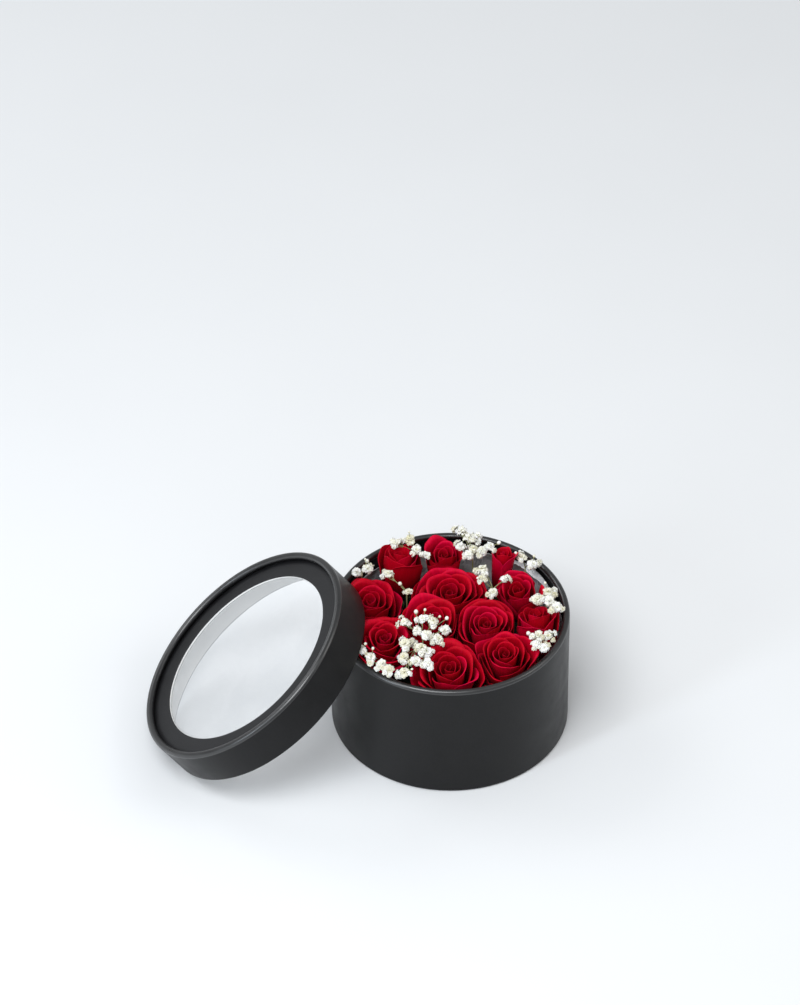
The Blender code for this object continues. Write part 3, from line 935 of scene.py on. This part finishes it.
# Where each sprig forks, and its flower heads as x, y, z, radius, in mm, as in the CAD
SPRIGS = {
    "left": ((-67, 40), 102, [(-71, 36, 109, 4.2), (-63, 38, 111, 4.6), (-63, 47, 110, 2.6)]),
    "left_back": ((-24, 65), 102, [
        (-42, 63, 115, 4.4), (-31, 69, 113, 4.6), (-25, 57, 113, 4.4), (-18, 50, 114, 3.4)]),
    "left_centre": ((-33, 14), 108, [(-47, 26, 117, 4.2), (-38, 15, 116, 2.4), (-32, 9, 114, 3)]),
    "back": ((17, 55), 110, [
        (8, 72, 120, 4.8), (21, 68, 118, 4.6), (14, 63, 120, 4.2), (7, 55, 119, 4.2),
        (18, 57, 115, 4.4), (14, 47, 117, 4.6), (24, 53, 115, 4.6), (31, 56, 118, 4),
        (37, 58, 119, 2.4)]),
    "centre_right": ((32, 19), 107, [
        (24, 32, 117, 4.4), (23, 21, 117, 3.4), (32, 8, 114, 4), (41, 23, 114, 3.6)]),
    "right_back": ((57, 51), 100, [(54, 51, 111, 4.2), (63, 45, 109, 4.6)]),
    "right": ((72, 5), 104, [
        (74, 9, 114, 4.6), (65, -1, 115, 4.6), (74, -4, 116, 4.6), (80, -9, 114, 4.6)]),
    "right_front": ((65, -42), 104, [
        (58, -38, 114, 2.6), (65, -40, 115, 4.2), (73, -39, 113, 4.4), (64, -48, 113, 4),
        (70, -50, 111, 4.2)]),
    "centre_left": ((-21, -39), 110, [
        (-35, -31, 120, 4.6), (-26, -24, 123, 2.6), (-21, -32, 124, 4.4), (-13, -34, 124, 4.4),
        (-26, -38, 118, 4), (-3, -31, 123, 2.4), (-4, -39, 119, 4.2), (-9, -46, 116, 4.6),
        (-18, -43, 118, 4.4)]),
    "front_left": ((-27, -46), 104, [
        (-30, -43, 111, 3.6), (-35, -49, 114, 4.6), (-22, -52, 113, 4.4), (-18, -60, 116, 4.4),
        (-35, -60, 111, 4.6), (-26, -65, 111, 4.4), (-35, -75, 109, 4.6), (-17, -72, 115, 4.6)]),
    "left_front": ((-54, -60), 101, [
        (-68, -49, 109, 4.4), (-60, -60, 110, 4.6), (-52, -67, 110, 4.4), (-46, -73, 110, 4.2)]),
}
BUD_R = 2.7                     # a head smaller than this is a closed bud
SIDE_FLORETS = 3                # smaller florets beside each large one
SIDE_BUDS = 0.5                 # chance of a closed bud there


def frame_on(axis):
    """Two directions square to an axis."""
    side = unit(np.cross(axis, np.array([0.3, 0.9, 0.2])))
    return side, np.cross(axis, side)


def add_floret(shape, centre, radius, axis, rng):
    """A double floret: rings of small ruffled petals round a green-cream heart."""
    side, other = frame_on(axis)
    tone = rng.random()
    for count, tilt, length in ((6, 88, 1.0), (6, 60, 0.95), (4, 30, 0.80), (2, 10, 0.6)):
        swing = rng.uniform(0, 6.28)
        for k in range(count):
            turn = swing + math.tau * k / count + rng.uniform(-0.35, 0.35)
            out = math.cos(turn) * side + math.sin(turn) * other
            across = np.cross(axis, out)
            angle = math.radians(tilt + rng.uniform(-20, 20))
            long = radius * length * rng.uniform(0.78, 1.15)
            u = np.linspace(-1, 1, 5)[:, None]
            v = np.linspace(0.08, 1, 4)[None, :]
            bend = angle * (0.45 + 0.75 * v)
            rise = long * (1 - 0.12 * np.abs(u) - 0.10 * np.exp(-(u / 0.35) ** 2) * v ** 2) * v
            width = long * 0.46 * np.sin(np.pi * (0.12 + 0.62 * v))
            ruffle = 0.13 * long * np.sin(4.5 * u + rng.uniform(0, 6)) * v ** 2
            point = (centre - axis * radius * 0.28
                     + (rise * np.sin(bend))[..., None] * out
                     + (rise * np.cos(bend) + ruffle)[..., None] * axis
                     + (width * u)[..., None] * across)
            points, faces = sheet_shell(point, 0.14)
            level = np.tile((v * np.ones_like(u)).ravel(), 2) * length
            shape.add(points, faces, out=level, tone=np.full(len(points), tone))


def add_ball(shape, centre, radius, axis, paint, tone, stretch=1.15, rings=7, sides=10):
    """A small egg shape, for buds and hips, pointing along an axis."""
    side, other = frame_on(axis)
    points, values = [centre - axis * radius * stretch], [0.0]
    for i in range(1, rings):
        angle = math.pi * i / rings
        for k in range(sides):
            turn = math.tau * k / sides
            points.append(centre - axis * radius * stretch * math.cos(angle)
                          + radius * math.sin(angle) * (math.cos(turn) * side + math.sin(turn) * other))
            values.append(tone * i / rings)
    points.append(centre + axis * radius * stretch)
    values.append(tone)
    faces = []
    for k in range(sides):
        m = (k + 1) % sides
        faces.append((0, 1 + m, 1 + k))
        last = 1 + (rings - 2) * sides
        faces.append((last + k, last + m, len(points) - 1))
        for i in range(rings - 2):
            a = 1 + i * sides
            faces.append((a + k, a + m, a + sides + m, a + sides + k))
    shape.add(points, faces, paint, out=values, tone=np.full(len(points), 0.5))


def twig(start, end, bow, steps=9):
    """A thin stem from a fork to a flower: it rises, then leans over."""
    s = np.linspace(0, 1, steps)[:, None]
    middle = (start + end) / 2 + bow
    return (1 - s) ** 2 * start + 2 * (1 - s) * s * middle + s ** 2 * end


def make_sprig(name, place, seed):
    """A stem that forks to its flower heads. A side floret that would reach the lid is left
    out, and its twig ends bare."""
    (x, y), fork_z, heads = place
    rng = random.Random(seed)
    node = "sprig_" + name
    low, _ = corners_mm(node)
    fork = np.array([x, y, fork_z], float)
    root = np.array([x, y, low[2] + 1.0])
    shape = Shape()

    def stem(start, end, bow, thick, thin):
        path = twig(start, end, np.array(bow, float))
        points, faces = tube(path, np.linspace(thick, thin, len(path)))
        blank = np.zeros(len(points))
        shape.add(points, faces, 1, out=blank, tone=blank)

    stem(root, fork, (0.8, -0.6, 0), 0.75, 0.5)
    for head_x, head_y, head_z, head_r in heads:
        centre = np.array([head_x, head_y, head_z], float)
        axis = unit(unit(centre - fork) * 0.6 + np.array([0, -0.25, 0.9])
                    + np.array([rng.uniform(-0.25, 0.25), rng.uniform(-0.25, 0.25), 0]))
        neck = centre - axis * head_r * 0.55
        stem(fork, neck, (rng.uniform(-1.5, 1.5), rng.uniform(-1.5, 1.5), 1.5), 0.42, 0.28)
        if head_r < BUD_R:
            add_ball(shape, centre, head_r * 0.62, axis, 0, 1.0)
            add_ball(shape, neck, head_r * 0.42, axis, 1, 0.2)
            continue
        add_floret(shape, centre, head_r, axis, rng)
        add_ball(shape, neck, head_r * 0.26, axis, 1, 0.2, 1.5)
        for k in range(SIDE_FLORETS):
            turn = rng.uniform(0, 6.28)
            away = unit(np.array([math.cos(turn), math.sin(turn), rng.uniform(-0.7, 0.15)]))
            small = head_r * rng.uniform(0.45, 0.78)
            tip = centre + away * (head_r * 0.75 + small * rng.uniform(0.5, 0.9))
            stem(fork * 0.35 + neck * 0.65, tip - away * small * 0.4, (0, 0, 0.3), 0.26, 0.2)
            if above_mouth(tip) < -small - LID_CLEAR:
                add_floret(shape, tip, small, unit(away + axis), rng)
        if rng.random() < SIDE_BUDS:
            away = np.array([rng.uniform(-1, 1), rng.uniform(-1, 1), rng.uniform(0.3, 1.0)])
            tip = centre + unit(away) * (head_r + rng.uniform(0.8, 2.8))
            stem(neck, tip, (0, 0, 0.3), 0.26, 0.2)
            add_ball(shape, tip, rng.uniform(0.7, 1.15), unit(away), 0, 0.8)
    shape.make(node, [FLORET, TWIG], "box", (node,))


# ------------------------ stage, light and camera

ELEVATION = math.radians(41.5)
PIXELS_PER_MM = 1.31            # at the box
PICTURE_HEIGHT = 1005           # pixels
SENSOR = 36.0                   # mm
CAMERA_FAR = 5.0                # metres
BOX_X = -38.0 * MM              # the picture's middle, left of the box's middle
BOX_UP = 158.0 * MM             # and above its foot, in the picture's plane


def make_camera():
    look = Vector((0, math.cos(ELEVATION), -math.sin(ELEVATION)))
    up = Vector((0, math.sin(ELEVATION), math.cos(ELEVATION)))
    target = Vector((BOX_X, 0, 0)) + up * BOX_UP
    data = bpy.data.cameras.new("camera")
    data.sensor_fit = "VERTICAL"
    data.sensor_height = SENSOR
    data.lens = SENSOR * PIXELS_PER_MM / MM * CAMERA_FAR / PICTURE_HEIGHT
    data.clip_end = 50
    camera = bpy.data.objects.new("camera", data)
    camera.location = target - look * CAMERA_FAR
    camera.rotation_euler = look.to_track_quat("-Z", "Y").to_euler()
    add_object(camera)
    bpy.context.scene.camera = camera


# Place, size in metres, watts and colour
LIGHTS = {
    "softbox": ((-0.50, -0.95, 1.75), (1.1, 0.8), 24, (0.95, 0.975, 1.0)),
    "window_left": ((-2.0, 1.2, 1.9), (1.5, 1.5), 17, (0.95, 0.975, 1.0)),
    "strip": ((-1.75, -1.35, 0.95), (0.32, 1.1), 13, (0.80, 0.90, 1.0)),
    "window_right": ((2.0, -0.2, 1.7), (1.2, 1.5), 11, (1.0, 0.99, 0.97)),
}
LIGHT_AIM = Vector((-0.05, 0, 0.05))


def soft_light(name, place, size, power, color):
    data = bpy.data.lights.new(name, "AREA")
    data.shape = "RECTANGLE"
    data.size, data.size_y = size
    data.energy = power
    data.color = color
    lamp = bpy.data.objects.new(name, data)
    lamp.location = place
    aim = LIGHT_AIM - Vector(place)
    lamp.rotation_euler = aim.to_track_quat("-Z", "Y").to_euler()
    add_object(lamp)


def make_stage():
    mesh = bpy.data.meshes.new("floor")
    half = 6.0
    mesh.from_pydata([(-half, -half, 0), (half, -half, 0), (half, half, 0), (-half, half, 0)], [],
                     [(0, 1, 2, 3)])
    mesh.materials.append(floor_material())
    floor = bpy.data.objects.new("floor", mesh)
    floor.location = (0, 0, -0.0002)
    add_object(floor)

    world = bpy.data.worlds.new("studio")
    world.use_nodes = True
    sky = world.node_tree.nodes["Background"]
    sky.inputs["Color"].default_value = (0.95, 0.968, 0.985, 1.0)
    sky.inputs["Strength"].default_value = 0.49
    bpy.context.scene.world = world
    for name, light in LIGHTS.items():
        soft_light(name, *light)
    bpy.context.scene.view_settings.view_transform = "Standard"


make_camera()
make_stage()
make_box()
make_film()
make_lid()
HEADS = rose_heads()
for number in range(len(ROSES)):
    make_rose(number, HEADS)
for number, (label, sprig) in enumerate(SPRIGS.items()):
    make_sprig(label, sprig, 300 + number)
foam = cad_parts["foam_block"]
foam.data.materials.clear()
foam.data.materials.append(FOAM)

bpy.context.view_layer.update()
